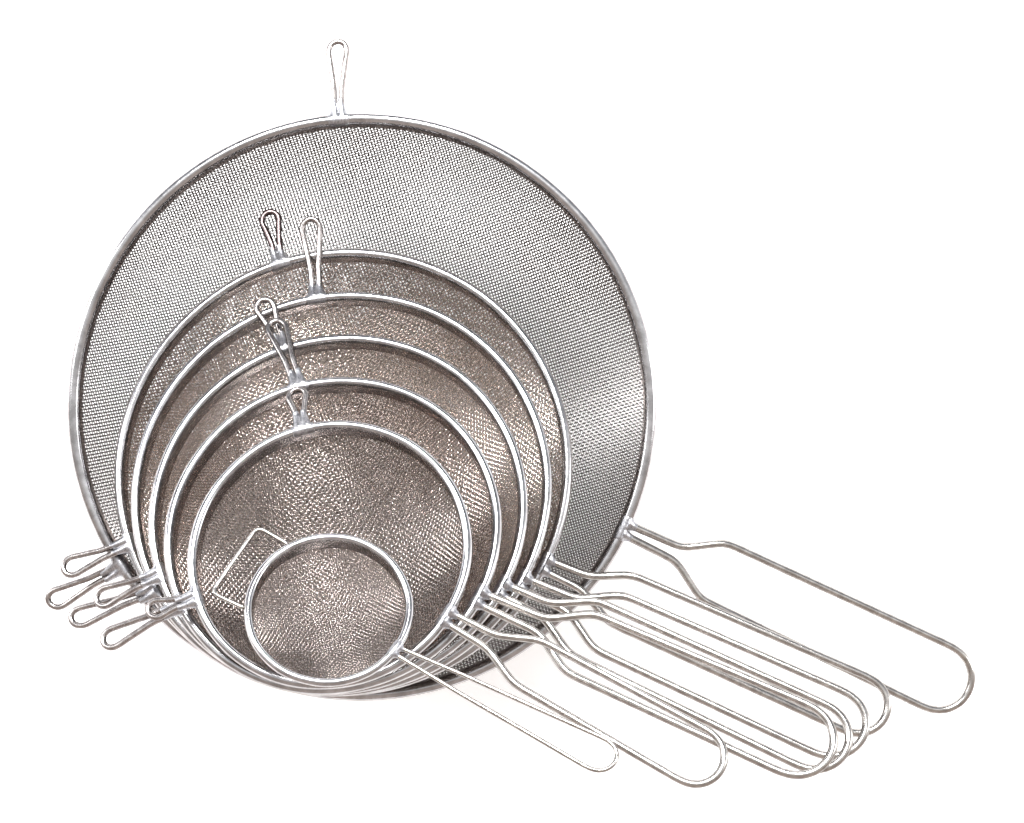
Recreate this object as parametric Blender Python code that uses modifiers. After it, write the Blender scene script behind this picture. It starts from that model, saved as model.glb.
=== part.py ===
"""Nest of seven round wire-mesh strainers, the largest holding the other six.

Each strainer is a rolled sheet rim over a core wire, a woven bowl (the five middle ones
have a coarse support bowl under the fine one), a bent-wire handle and two wire rest hooks.
The smallest has a square wire bail in place of the hooks.

World frame: origin on the floor under the middle of the largest bowl, +Z is its axis with
the mouth up, +X runs along its handle. Units are metres.
"""
import math
from dataclasses import dataclass

import bpy
from mathutils import Matrix, Vector

MM = 0.001
COLLECTION = "strainer_nest"

# ---------------------------------------------------------------- driving dimensions
GAP = 0.3 * MM             # left between touching pieces
SHEET = 0.5 * MM           # rim sheet thickness
CLOTH = 0.4 * MM           # thickness of one layer of woven wire
SKIRT = 7.0 * MM           # height of the plain band below the rim's middle
FOOT_RADIUS = 20.0 * MM    # flat pressed into the bottom of each bowl
BOWL_RINGS = 3             # steps in a bowl's arc
BEAD_STEPS = 6             # steps in a rim bead's arc
CORE_SIDES = 6
CORE_INSET = 0.9 * MM      # core wire thinner than the bead's radius by this
MERGE = 0.05 * MM          # turned points closer than this become one
FOOT_SHARE = 1 / 3         # the foot is at most this much of the bowl's radius
NECK_GAP = 1.9 * MM        # between the two wires of a handle's neck
NECK_SPREAD = 0.8 * MM     # what each has moved apart by at the neck's end
FLARE = 19.0 * MM          # length over which a handle widens
SHOULDER = 0.92            # of its full half width at the flare's end
HOOK_WIRE = 3.0 * MM
HOOK_GAP = 0.6 * MM        # between the two wires of a hook at its root
HOOK_HALF_WIDTH = 4.5 * MM
LEAN_AZIMUTH = 128.0       # degrees; the way the nested strainers' axes lean


@dataclass
class Strainer:
    """One strainer of the nest: sizes in mm, angles in degrees."""
    number: int
    rim: float              # radius to the middle of the rim bead
    bead: float             # radius of the rim bead
    depth: float            # rim middle to the bottom of the bowl
    segments: int           # facets round the axis
    centre: tuple           # rim centre from the largest rim's centre
    lean: float             # tilt of the axis from +Z
    lean_azimuth: float = LEAN_AZIMUTH
    handle_angle: float = 0.0    # where the handle meets the rim, about the axis
    handle_skew: float = 0.0     # its slant there from straight outwards
    handle_length: float = 176.0
    handle_width: float = 34.0   # between the two wires' middles
    handle_wire: float = 4.0
    neck: float = 26.0      # length of the close pair of wires before the flare
    hook_lengths: tuple = ()     # of the back hook and of the front one
    hook_angles: tuple = ()      # where they meet the rim, from the handle
    hook_skews: tuple = (0.0, 0.0)
    hook_droops: tuple = (4.0, 4.0)
    doubled: bool = True    # has the support bowl


NEST = (
    Strainer(1, 147.0, 3.1, 92.0, 28, (0.0, 0.0, 0.0), 0.0, handle_length=191.6, neck=28.0,
             hook_lengths=(38.0, 38.0), hook_angles=(120.3, -121.0), hook_skews=(-4.0, -7.0),
             hook_droops=(3.0, 3.0), doubled=False),
    Strainer(2, 114.0, 2.6, 72.0, 28, (4.3, -32.4, 2.5), 12.4, handle_angle=-1.3,
             handle_skew=2.1, handle_length=180.3, handle_width=29.0, neck=20.0,
             hook_lengths=(27.0, 33.0), hook_angles=(133.2, -134.5), hook_skews=(-4.0, 2.0),
             hook_droops=(0.0, 0.0)),
    Strainer(3, 103.1, 2.5, 65.0, 28, (8.8, -42.0, 20.3), 17.8, handle_angle=-3.5,
             handle_skew=3.4, handle_width=33.0, neck=25.0,
             hook_lengths=(40.5, 41.5), hook_angles=(124.0, -124.8), hook_skews=(-3.0, -11.0),
             hook_droops=(-6.0, 4.0)),
    Strainer(4, 91.2, 2.5, 58.0, 24, (12.8, -51.6, 36.0), 20.8, handle_angle=-2.3,
             handle_skew=1.1, handle_width=32.0, neck=22.0,
             hook_lengths=(28.5, 31.5), hook_angles=(135.3, -133.6), hook_skews=(4.0, 0.0),
             hook_droops=(0.0, 4.0)),
    Strainer(5, 79.3, 2.5, 51.0, 24, (16.3, -61.4, 55.7), 23.5, handle_angle=-1.1,
             handle_skew=0.7, handle_length=175.0, neck=31.0,
             hook_lengths=(40.0, 38.5), hook_angles=(130.5, -127.0), hook_skews=(6.0, -3.0)),
    Strainer(6, 65.1, 2.4, 42.0, 24, (20.4, -69.9, 75.4), 23.5, handle_angle=-5.4,
             handle_length=141.3, handle_width=26.0, handle_wire=3.6, neck=22.0,
             hook_lengths=(21.0, 21.5), hook_angles=(129.5, -134.8), hook_skews=(-2.0, -6.0),
             hook_droops=(2.0, 2.0)),
    Strainer(7, 36.5, 2.0, 26.0, 16, (33.0, -91.7, 105.5), 29.5, lean_azimuth=112.0,
             handle_angle=-8.5, handle_skew=4.7, handle_length=108.5, handle_width=16.0,
             handle_wire=2.0, neck=0.0, doubled=False),
)

RIM_HEIGHT = NEST[0].depth * MM + CLOTH / 2   # largest rim's middle above the floor
BAIL_ANGLE = 176.0         # degrees; the bail's direction, nearly opposite the handle
BAIL_WIDTH = 39.0 * MM     # bail of the smallest strainer, between its corners
BAIL_CORNER = 3.0 * MM
BAIL_REACH = 14.0 * MM     # how far it stands out past the rim bead
BAIL_SPREAD = 29.0         # degrees to each side where its ends meet the rim


# ---------------------------------------------------------------- materials
def metal(name, colour, roughness):
    """Principled metal in one colour."""
    material = bpy.data.materials.get(name)
    if material is None:
        material = bpy.data.materials.new(name)
        material.use_nodes = True
        shader = material.node_tree.nodes["Principled BSDF"]
        shader.inputs["Base Color"].default_value = (*colour, 1.0)
        shader.inputs["Roughness"].default_value = roughness
        shader.inputs["Metallic"].default_value = 1.0
    return material


def rim_metal():
    return metal("polished_rim_sheet", (0.78, 0.79, 0.80), 0.18)


def core_metal():
    return metal("core_wire", (0.55, 0.55, 0.56), 0.40)


def cloth_metal():
    return metal("fine_woven_wire", (0.56, 0.53, 0.50), 0.38)


def support_metal():
    return metal("coarse_woven_wire", (0.48, 0.46, 0.44), 0.42)


def wire_metal():
    return metal("drawn_handle_wire", (0.74, 0.74, 0.75), 0.22)


def hook_metal():
    return metal("drawn_hook_wire", (0.70, 0.70, 0.71), 0.25)


# ---------------------------------------------------------------- shapes
def link(obj, parent, material):
    """Put an object in the nest's collection, on its strainer's empty."""
    for collection in obj.users_collection:
        collection.objects.unlink(obj)
    bpy.data.collections[COLLECTION].objects.link(obj)
    obj.parent = parent
    obj.data.materials.clear()
    obj.data.materials.append(material)
    return obj


def facet_radius(radius, segments):
    """Corner radius of the polygon whose middle radius is the given one."""
    return radius * (1.5 - 0.5 * math.cos(math.pi / segments))


def turned_sheet(name, profile, segments, thickness, parent, material):
    """Turn an open profile about Z and give it thickness on both sides."""
    mesh = bpy.data.meshes.new(name)
    corners = [(facet_radius(r, segments), 0.0, z) for r, z in profile]
    edges = [(i, i + 1) for i in range(len(corners) - 1)]
    mesh.from_pydata(corners, edges, [])
    obj = bpy.data.objects.new(name, mesh)
    bpy.context.scene.collection.objects.link(obj)
    link(obj, parent, material)
    screw = obj.modifiers.new("turn", 'SCREW')
    screw.steps = screw.render_steps = segments
    screw.use_merge_vertices = True
    screw.merge_threshold = MERGE
    screw.use_smooth_shade = True
    solid = obj.modifiers.new("sheet", 'SOLIDIFY')
    solid.thickness = thickness
    solid.offset = 0.0
    solid.use_even_offset = True
    return obj


def bent_wire(name, path, diameter, parent, material):
    """A round wire along a path, closed at both ends."""
    curve = bpy.data.curves.new(name, 'CURVE')
    curve.dimensions = '3D'
    curve.bevel_depth = diameter / 2
    curve.bevel_resolution = 1
    curve.use_fill_caps = True
    spline = curve.splines.new('POLY')
    spline.points.add(len(path) - 1)
    for point, place in zip(spline.points, path):
        point.co = (*place, 1.0)
    obj = bpy.data.objects.new(name, curve)
    bpy.context.scene.collection.objects.link(obj)
    return link(obj, parent, material)


def both_sides(half):
    """Complete a loop from its +Y half, whose last point is the tip."""
    return half + [(x, -y, z) for x, y, z in reversed(half[:-1])]


def loop_from_rim(side, root, skew, droop=0.0):
    """Whole loop from its +Y half: out from root, slanting by skew, its tip down by droop."""
    slant = math.tan(math.radians(skew))
    length = side[-1][0]
    loop = both_sides([(x, y, 0.0) for x, y in side])
    return [(root + x, y + slant * x, -droop * (x / length) ** 2) for x, y, z in loop]


def turned_about_z(path, degrees):
    spin = Matrix.Rotation(math.radians(degrees), 3, 'Z')
    return [spin @ Vector(p) for p in path]


# ---------------------------------------------------------------- the pieces of a strainer
def skirt_radius(s):
    """Radius to the middle of the sheet in the plain band."""
    return (s.rim - s.bead) * MM + SHEET / 2


def make_rim(s, parent):
    """Sheet strip: plain band up the inside, rolled outwards over the core wire."""
    rim = s.rim * MM
    roll = s.bead * MM - SHEET / 2
    profile = [(skirt_radius(s), -SKIRT)]
    for step in range(BEAD_STEPS + 1):
        angle = math.pi - math.radians(270.0) * step / BEAD_STEPS
        profile.append((rim + roll * math.cos(angle), roll * math.sin(angle)))
    turned_sheet(f"rim_{s.number}", profile, s.segments, SHEET, parent, rim_metal())


def make_core(s, parent):
    """Round wire that the rim sheet is rolled over."""
    wire = s.bead * MM - CORE_INSET
    bpy.ops.mesh.primitive_torus_add(
        major_segments=s.segments, minor_segments=CORE_SIDES,
        major_radius=facet_radius(s.rim * MM, s.segments), minor_radius=wire)
    obj = bpy.context.object
    obj.name = obj.data.name = f"rim_wire_{s.number}"
    link(obj, parent, core_metal())


def make_bowl(s, name, radius, depth, thickness, parent, material):
    """Woven bowl: short upright edge behind the plain band, a spherical arc, a flat foot."""
    top = -(s.bead * MM + 2 * GAP)
    foot = min(FOOT_RADIUS, radius * FOOT_SHARE)
    middle = ((radius ** 2 - foot ** 2 + SKIRT ** 2 - depth ** 2) / (2 * (depth - SKIRT)))
    sphere = math.hypot(radius, middle + SKIRT)
    start = math.atan2(radius, middle + SKIRT)
    end = math.atan2(foot, middle + depth)
    profile = [(radius, top)]
    for step in range(BOWL_RINGS + 1):
        angle = start + (end - start) * step / BOWL_RINGS
        profile.append((sphere * math.sin(angle), middle - sphere * math.cos(angle)))
    profile.append((0.0, profile[-1][1]))
    turned_sheet(name, profile, s.segments, thickness, parent, material)


def make_mesh(s, parent):
    """Fine bowl, and the coarse one that backs it where the strainer is doubled."""
    fine = skirt_radius(s) + SHEET / 2 + GAP + CLOTH / 2
    make_bowl(s, f"mesh_{s.number}", fine, s.depth * MM, CLOTH, parent, cloth_metal())
    if s.doubled:
        step = CLOTH + GAP
        make_bowl(s, f"support_mesh_{s.number}", fine + step, s.depth * MM + step, CLOTH,
                  parent, support_metal())


def make_handle(s, parent):
    """One wire bent double: a close neck, a flare and a long loop with a round end."""
    root = facet_radius(s.rim * MM, s.segments) + s.bead * MM + GAP
    wire = s.handle_wire * MM
    length = s.handle_length * MM
    half = s.handle_width * MM / 2
    near = (wire + NECK_GAP) / 2
    neck = s.neck * MM
    if neck > 0:
        flare = neck + FLARE
        side = [(0.0, near), (neck, near + NECK_SPREAD), (flare, SHOULDER * half),
                (length - half, half)]
    else:
        side = [(0.0, near), (0.3 * length, near + 0.30 * half), (0.6 * length, 0.75 * half),
                (length - half, half)]
    for angle in (60.0, 30.0, 0.0):
        bend = math.radians(angle)
        side.append((length - half * (1 - math.cos(bend)), half * math.sin(bend)))
    loop = loop_from_rim(side, root, s.handle_skew)
    bent_wire(f"handle_{s.number}", turned_about_z(loop, s.handle_angle), wire, parent,
              wire_metal())


def make_hook(s, side_name, length, azimuth, skew, droop, parent):
    """Teardrop wire loop on the rim, which rests on the rim of a pot or a larger strainer."""
    root = facet_radius(s.rim * MM, s.segments) + s.bead * MM + GAP
    half = HOOK_HALF_WIDTH
    near = (HOOK_WIRE + HOOK_GAP) / 2
    side = [(0.0, near), (0.35 * length, near + 0.2 * MM), (0.7 * length, 0.8 * half),
            (length - half, half), (length - 0.3 * half, 0.7 * half), (length, 0.0)]
    loop = loop_from_rim(side, root, skew, droop)
    bent_wire(f"hook_{side_name}_{s.number}", turned_about_z(loop, azimuth), HOOK_WIRE,
              parent, hook_metal())


def make_bail(s, parent):
    """Square wire bow opposite the handle of the smallest strainer."""
    wire = s.handle_wire * MM
    root = facet_radius(s.rim * MM, s.segments) + s.bead * MM + wire / 2 + GAP
    spread = math.radians(BAIL_SPREAD)
    half = BAIL_WIDTH / 2
    reach = s.rim * MM + BAIL_REACH
    corner = BAIL_CORNER
    side = [(root * math.cos(spread), root * math.sin(spread)),
            (reach - corner, half), (reach - 0.3 * corner, half - 0.3 * corner),
            (reach, half - corner), (reach, 0.0)]
    loop = both_sides([(x, y, 0.0) for x, y in side])
    bent_wire(f"bail_{s.number}", turned_about_z(loop, BAIL_ANGLE), wire, parent,
              hook_metal())


# ---------------------------------------------------------------- assembly
def strainer_empty(s):
    """Empty at the rim's centre, +Z along the strainer's axis, +X towards its handle."""
    empty = bpy.data.objects.new(f"strainer_{s.number}_place", None)
    bpy.data.collections[COLLECTION].objects.link(empty)
    lean_axis = Matrix.Rotation(math.radians(s.lean_azimuth + 90.0), 3, 'Z') @ Vector((1, 0, 0))
    empty.rotation_mode = 'QUATERNION'
    empty.rotation_quaternion = Matrix.Rotation(math.radians(s.lean), 3, lean_axis).to_quaternion()
    empty.location = Vector(s.centre) * MM + Vector((0, 0, RIM_HEIGHT))
    return empty


def make_strainer(s):
    parent = strainer_empty(s)
    make_rim(s, parent)
    make_core(s, parent)
    make_mesh(s, parent)
    make_handle(s, parent)
    if s.number < len(NEST):
        for i, side in enumerate(("back", "front")):
            make_hook(s, side, s.hook_lengths[i] * MM, s.hook_angles[i], s.hook_skews[i],
                      s.hook_droops[i] * MM, parent)
    else:
        make_bail(s, parent)


def main():
    for obj in list(bpy.data.objects):
        bpy.data.objects.remove(obj, do_unlink=True)
    nest = bpy.data.collections.new(COLLECTION)
    bpy.context.scene.collection.children.link(nest)
    for strainer in NEST:
        make_strainer(strainer)


main()
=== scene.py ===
"""Looks of the nest of seven wire-mesh strainers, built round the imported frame.

Every strainer is made in its own place: origin at the middle of its rim, +Z along its axis
with the mouth up, +X towards its handle. The place is read from the frame's rim and handle.
Units are metres.
"""
import math
from dataclasses import dataclass

import bpy
import numpy as np
from mathutils import Matrix, Vector


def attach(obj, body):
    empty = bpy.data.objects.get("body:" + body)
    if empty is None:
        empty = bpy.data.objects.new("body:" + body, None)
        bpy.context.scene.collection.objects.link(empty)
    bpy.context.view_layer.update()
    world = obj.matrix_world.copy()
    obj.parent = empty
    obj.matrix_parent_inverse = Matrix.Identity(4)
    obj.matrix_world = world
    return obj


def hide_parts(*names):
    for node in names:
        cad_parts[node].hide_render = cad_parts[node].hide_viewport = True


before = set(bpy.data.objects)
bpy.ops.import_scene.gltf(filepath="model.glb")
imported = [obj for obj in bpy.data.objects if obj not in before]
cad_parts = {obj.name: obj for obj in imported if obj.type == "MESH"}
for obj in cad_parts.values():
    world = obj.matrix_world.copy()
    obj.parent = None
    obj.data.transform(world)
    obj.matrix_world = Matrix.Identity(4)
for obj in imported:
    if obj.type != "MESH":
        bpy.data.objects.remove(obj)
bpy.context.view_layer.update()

MM = 0.001

# ---------------------------------------------------------------- driving dimensions
SHEET = 0.5 * MM             # rim sheet thickness
SKIRT = 7.0 * MM             # height of the plain band below the rim's middle
CLOTH_INSET = 0.5 * MM       # middle of the fine cloth behind the middle of the band's face
CLOTH_TOP = 0.6 * MM         # the cloth's edge below the underside of the bead
FOOT_RADIUS = 20.0 * MM      # flat pressed into the bottom of each bowl,
FOOT_SHARE = 1 / 3           # and its largest share of the bowl's radius
SUPPORT_STEP = 0.75 * MM     # between the middles of the fine and the support cloth
CRIMP = 0.8                  # how far a crossing pushes a fine wire aside, in wire radii
SUPPORT_CRIMP = 0.3
NECK_GAP = 1.9 * MM          # between the two wires of a handle's neck
NECK_SPREAD = 0.8 * MM       # what each has moved apart by at the neck's end
FLARE = 19.0 * MM            # length over which a handle widens
SHOULDER = 0.92              # of its full half width at the flare's end
HANDLE_BEND = 6.0 * MM       # length over which a handle wire bends
END_ANGLES = (75.0, 60.0, 45.0, 30.0, 15.0, 0.0)    # round end of a handle
PACKED_END_ANGLES = (60.0, 30.0, 0.0)
REACH_IN = 0.6 * MM          # every wire into its rim
HOOK_WIRE = 3.1 * MM
HOOK_GAP = 0.6 * MM          # between the two wires of a hook at its root
HOOK_HALF_WIDTH = 4.9 * MM
HOOK_BEND = 2.0 * MM
BAIL_ANGLE = 176.0           # degrees; the bail's direction, nearly opposite the handle
BAIL_WIDTH = 39.0 * MM
BAIL_CORNER = 3.0 * MM
BAIL_REACH = 14.0 * MM
BAIL_SPREAD = 29.0           # degrees to each side where the bail meets the rim
RIM_WAVE = 0.06 * MM         # height of the waves of hand rolling
CUT_EDGE_SWELL = 1.6         # width of a strip's rounded cut edge over its thickness
CORE_CLEARANCE = 0.7 * MM    # from the bead's outside to the core wire
SOLDER_SKIN = 0.35 * MM      # thickness of the solder over the bead
SOLDER_WIRE_SKIN = 0.05 * MM
SOLDER_GRAIN = 0.32 * MM     # size of the cells that melt the solder together
SADDLE_POINTS, SADDLE_SIDES = 15, 16
CONE_POINTS, CONE_SIDES = 8, 12
HOOK_SOLDER_WIDTH = 5.6 * MM
HANDLE_CLIMB, HOOK_CLIMB = 0.5, 2.2     # solder up a wire, in wire diameters
SUPPORT_TURN = 18.0          # degrees from the fine cloth's direction to the support cloth's
RIPPLE_DEPTH = 0.3 * MM      # of the metals' bump
FLOOR_DROP = 1.0 * MM        # floor below the lowest wire's middle
TABLE_RADIUS = 4.0           # m
RIM_SEGMENTS = 160
CORE_SIDES = 8
WIRE_SIDES = 14
WIRE_STEP = 0.4              # between a wire's rings, in wire diameters
CLOTH_SIDES = 3
FOOT_POINTS, ARC_POINTS, EDGE_POINTS = 20, 200, 10      # of a bowl's outline, from its middle


@dataclass
class Strainer:
    """One strainer: sizes in mm, angles in degrees."""
    number: int
    rim: float               # radius to the middle of the rim bead
    bead: float              # radius of the rim bead
    depth: float             # rim middle to the bottom of the bowl
    pitch: float             # of the fine cloth
    cloth_wire: float        # diameter of the fine cloth's wire
    weave_turn: float        # the cloth's direction from the handle
    handle_angle: float = 0.0    # where the handle meets the rim
    handle_skew: float = 0.0     # its slant there from straight outwards
    handle_length: float = 176.0
    handle_width: float = 34.0
    handle_wire: float = 4.0
    neck: float = 26.0
    hook_lengths: tuple = ()     # of the back hook and of the front one
    hook_angles: tuple = ()      # where they meet the rim, from the handle
    hook_skews: tuple = ()
    hook_droops: tuple = (4.0, 4.0)
    support_pitch: float = 0.0   # 0 where there is no support cloth


NEST = (
    Strainer(1, 147.0, 3.1, 92.0, 1.71, 0.90, 41.0, handle_length=191.6, neck=28.0,
             hook_lengths=(38.0, 38.0), hook_angles=(120.3, -121.0), hook_skews=(-4.0, -7.0),
             hook_droops=(3.0, 3.0)),
    Strainer(2, 114.0, 2.6, 72.0, 1.9, 0.64, 47.0, handle_angle=-1.3, handle_skew=2.1,
             handle_length=180.3, handle_width=29.0, neck=20.0,
             hook_lengths=(27.0, 33.0), hook_angles=(133.2, -134.5), hook_skews=(-4.0, 2.0),
             hook_droops=(0.0, 0.0), support_pitch=3.0),
    Strainer(3, 103.1, 2.5, 65.0, 1.72, 0.62, 38.0, handle_angle=-3.5, handle_skew=3.4,
             handle_width=33.0, neck=25.0,
             hook_lengths=(40.5, 41.5), hook_angles=(124.0, -124.8), hook_skews=(-3.0, -11.0),
             hook_droops=(-6.0, 4.0), support_pitch=3.0),
    Strainer(4, 91.2, 2.5, 58.0, 1.6, 0.60, 52.0, handle_angle=-2.3, handle_skew=1.1,
             handle_width=32.0, neck=22.0,
             hook_lengths=(28.5, 31.5), hook_angles=(135.3, -133.6), hook_skews=(4.0, 0.0),
             hook_droops=(0.0, 4.0), support_pitch=3.0),
    Strainer(5, 79.3, 2.5, 51.0, 1.6, 0.60, 44.0, handle_angle=-1.1, handle_skew=0.7,
             handle_length=175.0, neck=31.0,
             hook_lengths=(40.0, 38.5), hook_angles=(130.5, -127.0), hook_skews=(6.0, -3.0),
             support_pitch=3.0),
    Strainer(6, 65.1, 2.4, 42.0, 1.5, 0.56, 36.0, handle_angle=-5.4, handle_length=141.3,
             handle_width=26.0, handle_wire=3.6, neck=22.0,
             hook_lengths=(21.0, 21.5), hook_angles=(129.5, -134.8), hook_skews=(-2.0, -6.0),
             hook_droops=(2.0, 2.0), support_pitch=2.8),
    Strainer(7, 36.5, 2.0, 26.0, 1.15, 0.44, 41.0, handle_angle=-8.5, handle_skew=4.7,
             handle_length=108.5, handle_width=16.0, handle_wire=2.0, neck=0.0),
)
CAD_SEGMENTS = {1: 28, 2: 28, 3: 28, 4: 24, 5: 24, 6: 24, 7: 16}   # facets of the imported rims

# studio, in metres and watts
FAR_SIDE = (-0.427, 0.904, 0.0)           # towards the top of the picture
ROOM_LIGHT = 1.3
TABLE_GLOW = 0.35                         # keeps the shadow on the table faint
ROOM_TONES = ((0.0, (0.62, 0.53, 0.48)), (0.38, (0.50, 0.43, 0.39)), (0.5, (0.70, 0.68, 0.67)),
              (0.62, (1.2, 1.2, 1.2)), (0.8, (0.40, 0.42, 0.46)), (1.0, (0.15, 0.16, 0.18)))
SOFTBOXES = (                             # name, place, aim, size and power
    ("key", (-0.6, 1.0, 1.6), (0, 0, 0), (0.9, 0.6), 75.0),
    ("left", (-1.6, -0.1, 0.9), (0, 0, 0.05), (0.6, 1.0), 14.0),
    ("right", (1.5, 0.9, 0.7), (0, 0, 0.05), (0.4, 1.0), 9.0),
)

# camera, in its own axes: x right, y up, z towards it
LENS, SENSOR = 68.9, 36.0         # mm
VIEW_UP_AXIS = Vector((0.02, 0.04, 1.0)).normalized()   # the nest's +Z
HANDLE_ANGLE = math.radians(-25.3)                      # the nest's +X on screen
RIM_IN_VIEW = Vector((-0.0760, 0.0033, -1.0))           # largest rim's middle


# ---------------------------------------------------------------- reading the frame
def node_points(name):
    """A CAD node's vertices, in metres."""
    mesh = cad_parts[name].data
    points = np.empty(len(mesh.vertices) * 3)
    mesh.vertices.foreach_get("co", points)
    return points.reshape(-1, 3)


def place_of(s):
    """World matrix of a strainer's own axes, from its packed rim and handle."""
    ring = node_points(f"rim_{s.number}")
    middle = ring.mean(0)
    axis = np.linalg.svd(ring - middle, full_matrices=False)[2][2]
    axis *= np.sign(axis[2])
    heights = (ring - middle) @ axis
    centre = middle + axis * (heights.max() - s.bead * MM)
    towards = node_points(f"handle_{s.number}").mean(0) - centre
    towards -= axis * (towards @ axis)
    loop_middle = np.mean(handle_loop(s, PACKED_END_ANGLES), axis=0)
    handle_turn = math.atan2(loop_middle[1], loop_middle[0])
    z = Vector(axis)
    x = Matrix.Rotation(-handle_turn, 3, z) @ Vector(towards).normalized()
    return Matrix.Translation(centre) @ Matrix((x, z.cross(x), z)).transposed().to_4x4()


# ---------------------------------------------------------------- mesh helpers
def mesh_object(name, points, quads, triangles=()):
    """Smooth-shaded object from arrays of points, four-sided and three-sided faces."""
    quads = np.asarray(quads, np.int32).reshape(-1, 4)
    triangles = np.asarray(triangles, np.int32).reshape(-1, 3)
    corners = np.concatenate([quads.ravel(), triangles.ravel()])
    counts = np.concatenate([np.full(len(quads), 4), np.full(len(triangles), 3)])
    mesh = bpy.data.meshes.new(name)
    mesh.vertices.add(len(points))
    mesh.vertices.foreach_set("co", np.asarray(points, np.float32).ravel())
    mesh.loops.add(len(corners))
    mesh.loops.foreach_set("vertex_index", corners)
    mesh.polygons.add(len(counts))
    mesh.polygons.foreach_set("loop_start", np.concatenate([[0], np.cumsum(counts)[:-1]]))
    mesh.polygons.foreach_set("use_smooth", np.ones(len(counts), bool))
    mesh.update(calc_edges=True)
    obj = bpy.data.objects.new(name, mesh)
    bpy.context.scene.collection.objects.link(obj)
    return obj


def grid_quads(rows, columns, close_rows=False, close_columns=True):
    """Faces of a grid of points stored row after row."""
    i = np.arange(rows if close_rows else rows - 1)[:, None]
    j = np.arange(columns if close_columns else columns - 1)[None, :]
    ahead, beside = (i + 1) % rows, (j + 1) % columns
    return np.stack([i * columns + j, i * columns + beside,
                     ahead * columns + beside, ahead * columns + j], -1).reshape(-1, 4)


def unit(v):
    """Vectors of length one."""
    return v / np.linalg.norm(v, axis=-1, keepdims=True)


def rounded_path(corners, bend, step):
    """Even points along a line of straight runs, its corners rounded over a length of bend."""
    corners = np.asarray(corners, float)
    run = np.concatenate([[0], np.cumsum(np.linalg.norm(np.diff(corners, axis=0), axis=1))])
    at = np.linspace(0.0, run[-1], int(run[-1] / step) + 2)
    path = np.stack([np.interp(at, run, c) for c in corners.T], -1)
    reach = max(1, round(bend / step / 2))
    share = np.ones(2 * reach + 1) / (2 * reach + 1)
    for _ in range(2):
        before = 2 * path[0] - path[reach:0:-1]
        after = 2 * path[-1] - path[-2:-reach - 2:-1]
        run_on = np.vstack([before, path, after])
        path = np.stack([np.convolve(c, share, "valid") for c in run_on.T], -1)
    return path


def tube_rings(path, radii, sides):
    """Rings of points round a path that lies near its own z = constant plane."""
    along = unit(np.gradient(path, axis=0))
    side = unit(np.cross((0.0, 0.0, 1.0), along))
    over = np.cross(along, side)
    turn = np.arange(sides) * 2 * math.pi / sides
    ring = (side[:, None] * np.cos(turn)[:, None] + over[:, None] * np.sin(turn)[:, None])
    return path[:, None] + ring * np.broadcast_to(radii, len(path))[:, None, None]


def tube_parts(path, radii, sides):
    """Points and faces of a tube with flat capped ends."""
    rings = tube_rings(path, radii, sides)
    points = np.vstack([rings.reshape(-1, 3), path[:1], path[-1:]])
    quads = grid_quads(len(path), sides)[:, ::-1]
    last = (len(path) - 1) * sides
    k = np.arange(sides)
    ahead = (k + 1) % sides
    tips = len(path) * sides
    first_cap = np.stack([k, ahead, np.full(sides, tips)], -1)
    last_cap = np.stack([last + ahead, last + k, np.full(sides, tips + 1)], -1)
    return points, quads, np.vstack([first_cap, last_cap])


def joined(parts):
    """Several (points, quads, triangles) as one."""
    points, quads, triangles, start = [], [], [], 0
    for p, q, t in parts:
        points.append(p)
        quads.append(q + start)
        triangles.append(t + start)
        start += len(p)
    return np.vstack(points), np.vstack(quads), np.vstack(triangles)


def both_sides(half):
    """Complete a loop from its +Y half: out along +Y, round the tip, back along -Y."""
    return half + [(x, -y, z) for x, y, z in reversed(half[:-1])]


def turned_about_z(path, degrees):
    """Points turned about the strainer's axis."""
    a = math.radians(degrees)
    spin = np.array(((math.cos(a), -math.sin(a), 0), (math.sin(a), math.cos(a), 0), (0, 0, 1)))
    return np.asarray(path) @ spin.T


def facet_radius(s):
    """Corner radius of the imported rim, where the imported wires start."""
    return s.rim * MM * (1.5 - 0.5 * math.cos(math.pi / CAD_SEGMENTS[s.number]))


def settle(obj, place, body, slot, material, *nodes):
    """Put a finished piece in its place on its body, in place of the CAD nodes."""
    obj.data.transform(place)
    obj.data.materials.append(material)
    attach(obj, body)
    if nodes:
        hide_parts(*nodes)
    return obj


# ---------------------------------------------------------------- materials
def node(tree, kind, **inputs):
    """New node with some of its inputs set or linked."""
    made = tree.nodes.new(kind)
    for name, value in inputs.items():
        key = int(name[1:]) if name.startswith("i") and name[1:].isdigit() else name
        if isinstance(value, bpy.types.NodeSocket):
            tree.links.new(value, made.inputs[key])
        else:
            made.inputs[key].default_value = value
    return made


def ramp(tree, factor, stops):
    """Colour ramp through (position, grey or colour) stops."""
    made = tree.nodes.new("ShaderNodeValToRGB")
    tree.links.new(factor, made.inputs[0])
    elements = made.color_ramp.elements
    while len(elements) < len(stops):
        elements.new(0.5)
    for element, (position, colour) in zip(elements, stops):
        element.position = position
        element.color = (*colour, 1.0) if isinstance(colour, tuple) else (colour,) * 3 + (1.0,)
    return made.outputs[0]


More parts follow.
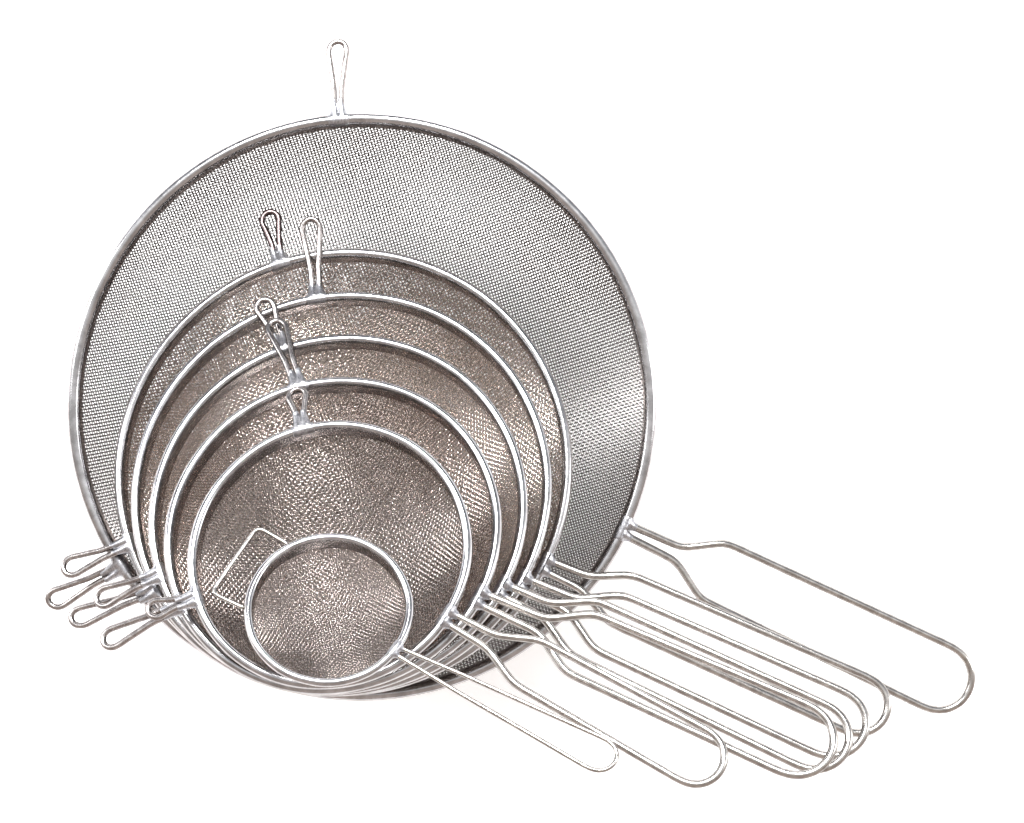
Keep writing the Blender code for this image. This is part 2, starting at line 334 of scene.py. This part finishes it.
def tinned(name, bright, dull, roughness, edge, bump=0.0, scale=90.0):
    """Tinned steel: two tones in soft patches, uneven polish in a fine grain, dark edges."""
    material = bpy.data.materials.new(name)
    material.use_nodes = True
    tree = material.node_tree
    shader = tree.nodes["Principled BSDF"]
    shader.inputs["Metallic"].default_value = 1.0
    shader.inputs["Specular Tint"].default_value = (*edge, 1.0)
    where = tree.nodes.new("ShaderNodeTexCoord").outputs["Object"]
    patches = node(tree, "ShaderNodeTexNoise", Vector=where, Scale=scale, Detail=4.0,
                   Roughness=0.6)
    tone = ramp(tree, patches.outputs[0], ((0.35, dull), (0.62, bright)))
    tree.links.new(tone, shader.inputs["Base Color"])
    grain = node(tree, "ShaderNodeTexNoise", Vector=where, Scale=scale * 6, Detail=3.0,
                 Roughness=0.7)
    low, high = roughness
    polish = ramp(tree, grain.outputs[0], ((0.3, low), (0.7, high)))
    tree.links.new(polish, shader.inputs["Roughness"])
    if bump:
        ripple = node(tree, "ShaderNodeBump", Height=patches.outputs[0], Strength=bump,
                      Distance=RIPPLE_DEPTH)
        tree.links.new(ripple.outputs[0], shader.inputs["Normal"])
    return material


def woven(name, bright, dull, roughness, edge, scale):
    """Drawn cloth wire: tone changes from crossing to crossing."""
    material = bpy.data.materials.new(name)
    material.use_nodes = True
    tree = material.node_tree
    shader = tree.nodes["Principled BSDF"]
    shader.inputs["Metallic"].default_value = 1.0
    shader.inputs["Roughness"].default_value = roughness
    shader.inputs["Specular Tint"].default_value = (*edge, 1.0)
    where = tree.nodes.new("ShaderNodeTexCoord").outputs["Object"]
    specks = node(tree, "ShaderNodeTexNoise", Vector=where, Scale=scale, Detail=2.0,
                  Roughness=0.5)
    tone = ramp(tree, specks.outputs[0], ((0.35, dull), (0.65, bright)))
    tree.links.new(tone, shader.inputs["Base Color"])
    return material


# ---------------------------------------------------------------- rim
def sheet_profile(s):
    """Closed outline of the rim strip: plain band, then the roll over the core wire."""
    rim, roll = s.rim * MM, s.bead * MM - SHEET / 2
    inner = (s.rim - s.bead) * MM + SHEET / 2
    line = [(inner, z) for z in np.linspace(-SKIRT, 0.0, 6)]
    for angle in np.radians(np.linspace(180.0, -90.0, 19))[1:]:
        line.append((rim + roll * math.cos(angle), roll * math.sin(angle)))
    line = np.array(line)
    along = unit(np.gradient(line, axis=0))
    out = np.stack([along[:, 1], -along[:, 0]], -1) * SHEET / 2
    edge = CUT_EDGE_SWELL * np.array([0.5, 0.0, -0.5])[:, None]     # three points on each cut edge
    depth = np.array([0.6, 1.0, 0.6])[:, None]
    end = line[-1] + out[-1] * edge + along[-1] * SHEET / 2 * depth
    start = line[0] - out[0] * edge - along[0] * SHEET / 2 * depth
    return np.vstack([line + out, end, (line - out)[::-1], start])


def make_rim(s, place, body):
    """Rolled sheet rim with the small waves of hand rolling."""
    profile = sheet_profile(s)
    turn = np.arange(RIM_SEGMENTS) * 2 * math.pi / RIM_SEGMENTS
    phase = 1.7 * s.number          # each rim waves in its own way
    wave = RIM_WAVE * (np.sin(5 * turn + phase) + 0.7 * np.sin(11 * turn - 2 * phase))
    radius = profile[None, :, 0] + wave[:, None]
    height = profile[None, :, 1] + 0.5 * np.roll(wave, 9)[:, None]
    points = np.stack([radius * np.cos(turn)[:, None], radius * np.sin(turn)[:, None],
                       np.broadcast_to(height, radius.shape)], -1).reshape(-1, 3)
    obj = mesh_object(f"rolled_rim_{s.number}", points,
                      grid_quads(RIM_SEGMENTS, len(profile), close_rows=True))
    return settle(obj, place, body, "rim_sheet", RIM_METAL, f"rim_{s.number}")


def make_core(s, place, body):
    """The round wire inside the roll."""
    turn = np.arange(RIM_SEGMENTS) * 2 * math.pi / RIM_SEGMENTS
    round_it = np.arange(CORE_SIDES) * 2 * math.pi / CORE_SIDES
    wire = s.bead * MM - CORE_CLEARANCE
    radius = s.rim * MM + wire * np.cos(round_it)[None, :]
    points = np.stack([radius * np.cos(turn)[:, None], radius * np.sin(turn)[:, None],
                       np.broadcast_to(wire * np.sin(round_it), (RIM_SEGMENTS, CORE_SIDES))], -1)
    obj = mesh_object(f"core_wire_{s.number}", points.reshape(-1, 3),
                      grid_quads(RIM_SEGMENTS, CORE_SIDES, close_rows=True))
    return settle(obj, place, body, "core_wire", CORE_METAL, f"rim_wire_{s.number}")


# ---------------------------------------------------------------- woven cloth
def pressed_net(reach, step):
    """A square net pressed onto a unit sphere, every cell side one step long.

    Only the quarter from the bottom of the sphere is worked out: the others mirror it.
    Each node is the last one reflected through the middle of its two neighbours.
    """
    count = int(reach / step) + 3
    net = np.zeros((count, count, 3))
    angle = np.arange(count) * step
    net[:, 0] = np.stack([np.sin(angle), 0 * angle, -np.cos(angle)], -1)
    net[0, :] = np.stack([0 * angle, np.sin(angle), -np.cos(angle)], -1)
    for diagonal in range(2, 2 * count - 1):
        i = np.arange(max(1, diagonal - count + 1), min(diagonal, count))
        j = diagonal - i
        middle = unit(net[i - 1, j] + net[i, j - 1])
        last = net[i - 1, j - 1]
        net[i, j] = 2 * (last * middle).sum(-1, keepdims=True) * middle - last
    flip = np.array([-1.0, 1.0, 1.0])
    half = np.concatenate([net[:0:-1] * flip, net])
    flip = np.array([1.0, -1.0, 1.0])
    return np.concatenate([half[:, :0:-1] * flip, half], axis=1)


class Bowl:
    """A bowl's surface: flat foot, spherical arc and short upright edge."""

    def __init__(self, radius, depth, top):
        foot = min(FOOT_RADIUS, FOOT_SHARE * radius)
        self.middle = ((radius ** 2 - foot ** 2 + SKIRT ** 2 - depth ** 2)
                       / (2 * (depth - SKIRT)))
        self.sphere = math.hypot(radius, self.middle + SKIRT)
        start = math.atan2(foot, self.middle + depth)
        end = math.atan2(radius, self.middle + SKIRT)
        angle = np.linspace(start, end, ARC_POINTS)
        r = np.concatenate([np.linspace(0, foot, FOOT_POINTS)[:-1],
                            self.sphere * np.sin(angle), np.full(EDGE_POINTS - 1, radius)])
        z = np.concatenate([np.full(FOOT_POINTS - 1, -depth),
                            self.middle - self.sphere * np.cos(angle),
                            np.linspace(-SKIRT, top, EDGE_POINTS)[1:]])
        ease = np.ones(7) / 7                       # soften the two bends
        r[10:-4] = np.convolve(r, ease, "same")[10:-4]
        z[10:-4] = np.convolve(z, ease, "same")[10:-4]
        self.r, self.z = r, z
        self.s = np.concatenate([[0], np.cumsum(np.hypot(np.diff(r), np.diff(z)))])
        slope = unit(np.stack([np.gradient(r), np.gradient(z)], -1))
        self.dr, self.dz = slope.T

    def points(self, s, towards):
        """Surface points and inward normals at path lengths s from the bottom."""
        r, z = np.interp(s, self.s, self.r), np.interp(s, self.s, self.z)
        dr, dz = np.interp(s, self.s, self.dr), np.interp(s, self.s, self.dz)
        flat = towards[..., :2]
        size = np.linalg.norm(flat, axis=-1, keepdims=True)
        flat = np.where(size > 1e-9, flat / np.maximum(size, 1e-9), (1.0, 0.0))
        place = np.concatenate([flat * r[..., None], z[..., None]], -1)
        normal = np.concatenate([-flat * dz[..., None], dr[..., None]], -1)
        return place, unit(normal)


def cloth_wires(net, bowl, crimp, across, halfway):
    """Runs of one set of the cloth's wires: points, inward normals and wire numbers.

    Each crossing is one point, pushed in or out by crimp; halfway adds one between them.
    """
    if across:
        net = net.transpose(1, 0, 2)
    reach = np.arccos(np.clip(-net[..., 2], -1, 1)) * bowl.sphere
    limit = bowl.s[-1]
    rows, columns = reach.shape
    sign = 1 - 2 * (np.add.outer(np.arange(rows), np.arange(columns)) % 2)
    places, normals, numbers = [], [], []
    for row in range(rows):
        inside = np.flatnonzero(reach[row] < limit)
        if len(inside) < 4:
            continue
        first, last = inside[0] - 1, inside[-1] + 1
        run = np.arange(first, last + 1)
        towards, s = net[row, run].copy(), reach[row, run].copy()
        for end, near in ((0, 1), (-1, -2)):        # stop each wire at the cloth's edge
            t = (limit - s[near]) / (s[end] - s[near])
            towards[end] = towards[near] + t * (towards[end] - towards[near])
            s[end] = limit
        push = sign[row, run] * crimp
        if halfway:
            at = np.arange(2 * len(run) - 1) / 2
            push = np.interp(at, np.arange(len(run)), push)
            s = np.interp(at, np.arange(len(run)), s)
            towards = np.stack([np.interp(at, np.arange(len(run)), c) for c in towards.T], -1)
        place, normal = bowl.points(s, towards)
        places.append(place + normal * push[:, None])
        normals.append(normal)
        numbers.append(np.full(len(s), row))
    return np.vstack(places), np.vstack(normals), np.concatenate(numbers)


def cloth_parts(places, normals, numbers, radius):
    """All of a set's wires as three-sided rods with a flat side towards the mouth."""
    same = numbers[1:] == numbers[:-1]
    ahead = np.vstack([places[1:], places[-1:]])
    behind = np.vstack([places[:1], places[:-1]])
    ends_here = np.append(~same, True)
    starts_here = np.append(True, ~same)
    ahead[ends_here] = places[ends_here]
    behind[starts_here] = places[starts_here]
    along = unit(ahead - behind)
    beside = unit(np.cross(along, normals))
    over = np.cross(beside, along)
    turn = math.pi / CLOTH_SIDES + np.arange(CLOTH_SIDES) * 2 * math.pi / CLOTH_SIDES
    ring = (over[:, None] * np.cos(turn)[:, None] + beside[:, None] * np.sin(turn)[:, None])
    points = (places[:, None] + ring * radius).reshape(-1, 3)
    m = np.flatnonzero(same)[:, None] * CLOTH_SIDES
    k = np.arange(CLOTH_SIDES)[None, :]
    beyond = (k + 1) % CLOTH_SIDES
    quads = np.stack([m + k, m + beyond, m + CLOTH_SIDES + beyond, m + CLOTH_SIDES + k], -1)
    first = np.flatnonzero(starts_here)[:, None] * CLOTH_SIDES + np.array((0, 2, 1))
    last = np.flatnonzero(ends_here)[:, None] * CLOTH_SIDES + np.array((0, 1, 2))
    return points, quads.reshape(-1, 4), np.vstack([first, last])


def make_cloth(s, name, radius, depth, pitch, wire, crimp, halfway, turn, material, slot, place,
               body, cad_node):
    """One woven bowl as two pieces, warp and weft, each of real crossing wires."""
    bowl = Bowl(radius, depth, -(s.bead * MM + CLOTH_TOP))
    net = pressed_net(bowl.s[-1] / bowl.sphere, pitch / bowl.sphere)
    spin = Matrix.Rotation(math.radians(turn), 4, 'Z')
    for weave, across, side in (("warp", False, 1.0), ("weft", True, -1.0)):
        run = cloth_wires(net, bowl, side * crimp * wire / 2, across, halfway)
        obj = mesh_object(f"{name}_{weave}_{s.number}", *cloth_parts(*run, wire / 2))
        settle(obj, place @ spin, body, slot, material, cad_node)


def make_cloths(s, place, body):
    """A strainer's fine cloth, and its support cloth where it has one."""
    fine = (s.rim - s.bead) * MM + SHEET + CLOTH_INSET
    make_cloth(s, "fine_cloth", fine, s.depth * MM, s.pitch * MM, s.cloth_wire * MM, CRIMP,
               s.number > 1, s.weave_turn, FINE_METAL_LIT_AND_SHADED[s.number], "fine_cloth", place, body,
               f"mesh_{s.number}")
    if s.support_pitch:
        make_cloth(s, "support_cloth", fine + SUPPORT_STEP, s.depth * MM + SUPPORT_STEP,
                   s.support_pitch * MM, s.cloth_wire * MM, SUPPORT_CRIMP, False,
                   s.weave_turn + SUPPORT_TURN, SUPPORT_SHADED_METAL, "support_cloth", place, body,
                   f"support_mesh_{s.number}")


# ---------------------------------------------------------------- wires
def loop_from_rim(s, side, skew, angle, droop=0.0):
    """Whole loop from its +Y half: out from the rim, slanting by skew, its tip down by droop."""
    root, length = facet_radius(s) + s.bead * MM, side[-1][0]
    slant = math.tan(math.radians(skew))
    loop = both_sides([(x, y, 0.0) for x, y in side])
    return turned_about_z([(root + x, y + slant * x, -droop * (x / length) ** 2)
                           for x, y, z in loop], angle)


def handle_loop(s, end_angles):
    """Middle line of a handle wire: a close neck, a flare and a long loop.

    Without a neck it widens slowly over most of its length.
    """
    wire, length, half = s.handle_wire * MM, s.handle_length * MM, s.handle_width * MM / 2
    near = (wire + NECK_GAP) / 2
    neck = s.neck * MM
    if neck > 0:
        side = [(0.0, near), (neck, near + NECK_SPREAD), (neck + FLARE, SHOULDER * half),
                (length - half, half)]
    else:
        side = [(0.0, near), (0.3 * length, near + 0.30 * half), (0.6 * length, 0.75 * half),
                (length - half, half)]
    for angle in end_angles:
        bend = math.radians(angle)
        side.append((length - half * (1 - math.cos(bend)), half * math.sin(bend)))
    return loop_from_rim(s, side, s.handle_skew, s.handle_angle)


def hook_loop(s, i):
    """Middle line of a teardrop rest hook: close at its root, widest near its tip."""
    length, half = s.hook_lengths[i] * MM, HOOK_HALF_WIDTH
    near = (HOOK_WIRE + HOOK_GAP) / 2
    side = [(0.0, near), (0.35 * length, near + 0.2 * MM), (0.7 * length, 0.8 * half),
            (length - half, half), (length - 0.3 * half, 0.7 * half), (length, 0.0)]
    return loop_from_rim(s, side, s.hook_skews[i], s.hook_angles[i], s.hook_droops[i] * MM)


def bail_loop(s):
    """Middle line of the smallest strainer's square bow."""
    root = facet_radius(s) + s.bead * MM
    spread = math.radians(BAIL_SPREAD)
    half, corner = BAIL_WIDTH / 2, BAIL_CORNER
    reach = s.rim * MM + BAIL_REACH
    side = [(root * math.cos(spread), root * math.sin(spread)),
            (reach - corner, half), (reach - 0.3 * corner, half - 0.3 * corner),
            (reach, half - corner), (reach, 0.0)]
    return turned_about_z(both_sides([(x, y, 0.0) for x, y in side]), BAIL_ANGLE)


def make_wire(name, loop, bend, wire, place, body, slot, material, cad_node):
    """A round wire bent along a loop, reaching just into the rim."""
    first, last = loop[:1] - REACH_IN * unit(loop[:1]), loop[-1:] - REACH_IN * unit(loop[-1:])
    path = rounded_path(np.vstack([first, loop, last]), bend, WIRE_STEP * wire)
    obj = mesh_object(name, *tube_parts(path, wire / 2, WIRE_SIDES))
    return settle(obj, place, body, slot, material, cad_node)


def solder(name, s, root_side, wire, degrees, spread, climb, place, body):
    """Soldered root: a saddle over the bead with a short cone up each wire, melted together."""
    bead = s.bead * MM
    width = spread / (s.rim * MM)
    turn = np.linspace(-width, width, SADDLE_POINTS)
    quarter = np.linspace(-math.pi / 2, math.pi / 2, SADDLE_POINTS)
    swell = bead + SOLDER_SKIN * np.cos(quarter) ** 0.5
    arc = np.stack([s.rim * MM * np.cos(turn), s.rim * MM * np.sin(turn), 0 * turn], -1)
    parts = [tube_parts(arc, swell, SADDLE_SIDES)]
    for side in (-1.0, 1.0):
        cone = np.array([(s.rim * MM + bead * 0.4 + x, side * root_side, 0.0)
                         for x in np.linspace(0.0, climb * wire + bead, CONE_POINTS)])
        taper = np.linspace(1.0, 0.0, CONE_POINTS) ** 2
        fat = wire * (0.5 + 0.55 * taper) + SOLDER_WIRE_SKIN
        parts.append(tube_parts(cone, fat, CONE_SIDES))
    obj = mesh_object(name, *joined(parts))
    remesh = obj.modifiers.new("melt", 'REMESH')
    remesh.mode = 'VOXEL'
    remesh.voxel_size = SOLDER_GRAIN
    remesh.use_smooth_shade = True
    smooth = obj.modifiers.new("flow", 'SMOOTH')
    smooth.factor, smooth.iterations = 0.5, 8
    shape = bpy.data.meshes.new_from_object(
        obj.evaluated_get(bpy.context.evaluated_depsgraph_get()))
    obj.modifiers.clear()
    obj.data = shape
    shape.materials.clear()
    spin = Matrix.Rotation(math.radians(degrees), 4, 'Z')
    return settle(obj, place @ spin, body, "rim_sheet", SOLDER_METAL)


def make_wires(s, place, body):
    """A strainer's handle with its rest hooks or bail, all soldered on but the bail."""
    wire = s.handle_wire * MM
    make_wire(f"handle_loop_{s.number}", handle_loop(s, END_ANGLES), HANDLE_BEND, wire, place,
              body, "handle_wire", WIRE_METAL, f"handle_{s.number}")
    solder(f"handle_solder_{s.number}", s, (wire + NECK_GAP) / 2, wire, s.handle_angle,
           1.2 * wire + NECK_GAP, HANDLE_CLIMB, place, body)
    if not s.hook_lengths:
        make_wire(f"square_bail_{s.number}", bail_loop(s), HOOK_BEND, wire, place, body,
                  "hook_wire", WIRE_METAL, f"bail_{s.number}")
        return
    for i, side in enumerate(("back", "front")):
        # 2's back hook takes the darkened copy: painted shade for the dark reflection it shows
        metal = SHADED_HOOK_METAL if (s.number, side) == (2, "back") else HOOK_METAL
        make_wire(f"rest_hook_{side}_{s.number}", hook_loop(s, i), HOOK_BEND, HOOK_WIRE,
                  place, body, "hook_wire", metal, f"hook_{side}_{s.number}")
        solder(f"hook_solder_{side}_{s.number}", s, (HOOK_WIRE + HOOK_GAP) / 2, HOOK_WIRE,
               s.hook_angles[i], HOOK_SOLDER_WIDTH, HOOK_CLIMB, place, body)


# ---------------------------------------------------------------- studio
def make_camera():
    """Camera that sees the largest rim's middle and the nest's axes where the constants say."""
    x_axis = Vector((math.cos(HANDLE_ANGLE), math.sin(HANDLE_ANGLE), 0.0))
    x_axis = (x_axis - VIEW_UP_AXIS * x_axis.dot(VIEW_UP_AXIS)).normalized()
    turn = Matrix((x_axis, VIEW_UP_AXIS.cross(x_axis), VIEW_UP_AXIS))
    rim_middle = place_of(NEST[0]).translation
    data = bpy.data.cameras.new("camera")
    data.lens, data.sensor_width = LENS, SENSOR
    camera = bpy.data.objects.new("camera", data)
    bpy.context.scene.collection.objects.link(camera)
    camera.matrix_world = (Matrix.Translation(rim_middle - turn @ RIM_IN_VIEW)
                           @ turn.to_4x4())
    bpy.context.scene.camera = camera


def softbox(name, place, aim, size, power):
    """Rectangular area lamp at place, facing aim."""
    data = bpy.data.lights.new(name, 'AREA')
    data.shape, data.size, data.size_y = 'RECTANGLE', size[0], size[1]
    data.energy = power
    lamp = bpy.data.objects.new(name, data)
    bpy.context.scene.collection.objects.link(lamp)
    lamp.location = place
    lamp.rotation_euler = (Vector(place) - Vector(aim)).to_track_quat('Z', 'Y').to_euler()


def make_studio():
    """White table, softboxes and a room that is lit differently in each direction."""
    bpy.ops.mesh.primitive_circle_add(vertices=96, radius=TABLE_RADIUS, fill_type='NGON',
                                      location=(0, 0, -FLOOR_DROP))
    table = bpy.context.object
    table.name = "table_top"
    paint = bpy.data.materials.new("white_table")
    paint.use_nodes = True
    shader = paint.node_tree.nodes["Principled BSDF"]
    shader.inputs["Base Color"].default_value = (0.96, 0.96, 0.96, 1.0)
    shader.inputs["Roughness"].default_value = 0.9
    shader.inputs["Specular IOR Level"].default_value = 0.1
    shader.inputs["Emission Color"].default_value = (1.0, 1.0, 1.0, 1.0)
    shader.inputs["Emission Strength"].default_value = TABLE_GLOW
    table.data.materials.append(paint)

    world = bpy.data.worlds.new("studio")
    bpy.context.scene.world = world
    world.use_nodes = True
    tree = world.node_tree
    sky = tree.nodes["Background"]
    direction = tree.nodes.new("ShaderNodeTexCoord").outputs["Generated"]
    far_side = node(tree, "ShaderNodeVectorMath", i0=direction, i1=FAR_SIDE)
    far_side.operation = 'DOT_PRODUCT'
    tone = ramp(tree, node(tree, "ShaderNodeMapRange", i0=far_side.outputs["Value"],
                           i1=-1.0, i2=1.0).outputs[0], ROOM_TONES)
    tree.links.new(tone, sky.inputs["Color"])
    sky.inputs["Strength"].default_value = ROOM_LIGHT

    for box in SOFTBOXES:
        softbox(*box)
    bpy.context.scene.view_settings.view_transform = 'Standard'


# ---------------------------------------------------------------- assembly
RIM_METAL = tinned("rolled_tinned_sheet", (0.46, 0.455, 0.465), (0.31, 0.305, 0.31),
                   (0.14, 0.26), (0.84, 0.76, 0.72), bump=0.08, scale=90.0)
CORE_METAL = tinned("core_wire_steel", (0.40, 0.40, 0.41), (0.30, 0.30, 0.31), (0.35, 0.5),
                    (0.3, 0.3, 0.3))
WIRE_METAL = tinned("drawn_tinned_wire", (0.47, 0.45, 0.43), (0.33, 0.31, 0.295),
                    (0.14, 0.26), (0.13, 0.12, 0.115), bump=0.12, scale=220.0)
HOOK_METAL = tinned("hook_tinned_wire", (0.41, 0.385, 0.375), (0.26, 0.235, 0.23),
                    (0.16, 0.30), (0.11, 0.10, 0.10), bump=0.25, scale=260.0)
# Painted shade: a darkened copy of the hook metal, standing in for the dark reflection on #2's
# back hook
SHADED_HOOK_METAL = tinned("painted_shade_hook_wire", (0.20, 0.16, 0.16), (0.09, 0.07, 0.07),
                    (0.2, 0.34), (0.06, 0.05, 0.05), bump=0.25, scale=260.0)
SOLDER_METAL = tinned("solder", (0.46, 0.46, 0.48), (0.30, 0.30, 0.32),
                      (0.2, 0.4), (0.4, 0.4, 0.4), bump=0.5, scale=500.0)
# The fine cloths are one metal in lit and shaded copies, each strainer's tone set for how light
# falls on its cloth: #1's darker base is painted shade that tones down the white table seen
# through it, #2-#4's near-white base is painted light that makes up for the shade of the bowls
# nested below them, and #5-#7's tones lie between
FINE_PAINTED_SHADE = woven("fine_cloth_painted_shade", (0.38, 0.36, 0.352), (0.27, 0.255, 0.25), 0.34,
                    (0.56, 0.51, 0.50), 900.0)
FINE_PAINTED_LIGHT = woven("fine_cloth_painted_light", (0.98, 0.91, 0.865), (0.70, 0.63, 0.585), 0.27,
                  (0.96, 0.88, 0.83), 700.0)
FINE_WARM = woven("fine_cloth_warm", (0.84, 0.76, 0.72), (0.48, 0.42, 0.39), 0.25,
                  (0.80, 0.70, 0.65), 700.0)
FINE_SMALL = woven("fine_cloth_small", (0.66, 0.605, 0.58), (0.38, 0.34, 0.32), 0.25,
                   (0.66, 0.58, 0.54), 700.0)
# Support cloth: its own darker metal tone, deepened further as painted shade so the fine cloth's
# holes show dark
SUPPORT_SHADED_METAL = woven("support_cloth_shaded_wire", (0.42, 0.36, 0.33), (0.24, 0.20, 0.18), 0.35,
                      (0.42, 0.34, 0.31), 500.0)
FINE_METAL_LIT_AND_SHADED = {1: FINE_PAINTED_SHADE, 2: FINE_PAINTED_LIGHT, 3: FINE_PAINTED_LIGHT, 4: FINE_PAINTED_LIGHT, 5: FINE_WARM,
              6: FINE_SMALL, 7: FINE_SMALL}

make_camera()
make_studio()
for strainer in NEST:
    its_place, its_body = place_of(strainer), f"strainer_{strainer.number}"
    make_rim(strainer, its_place, its_body)
    make_core(strainer, its_place, its_body)
    make_cloths(strainer, its_place, its_body)
    make_wires(strainer, its_place, its_body)
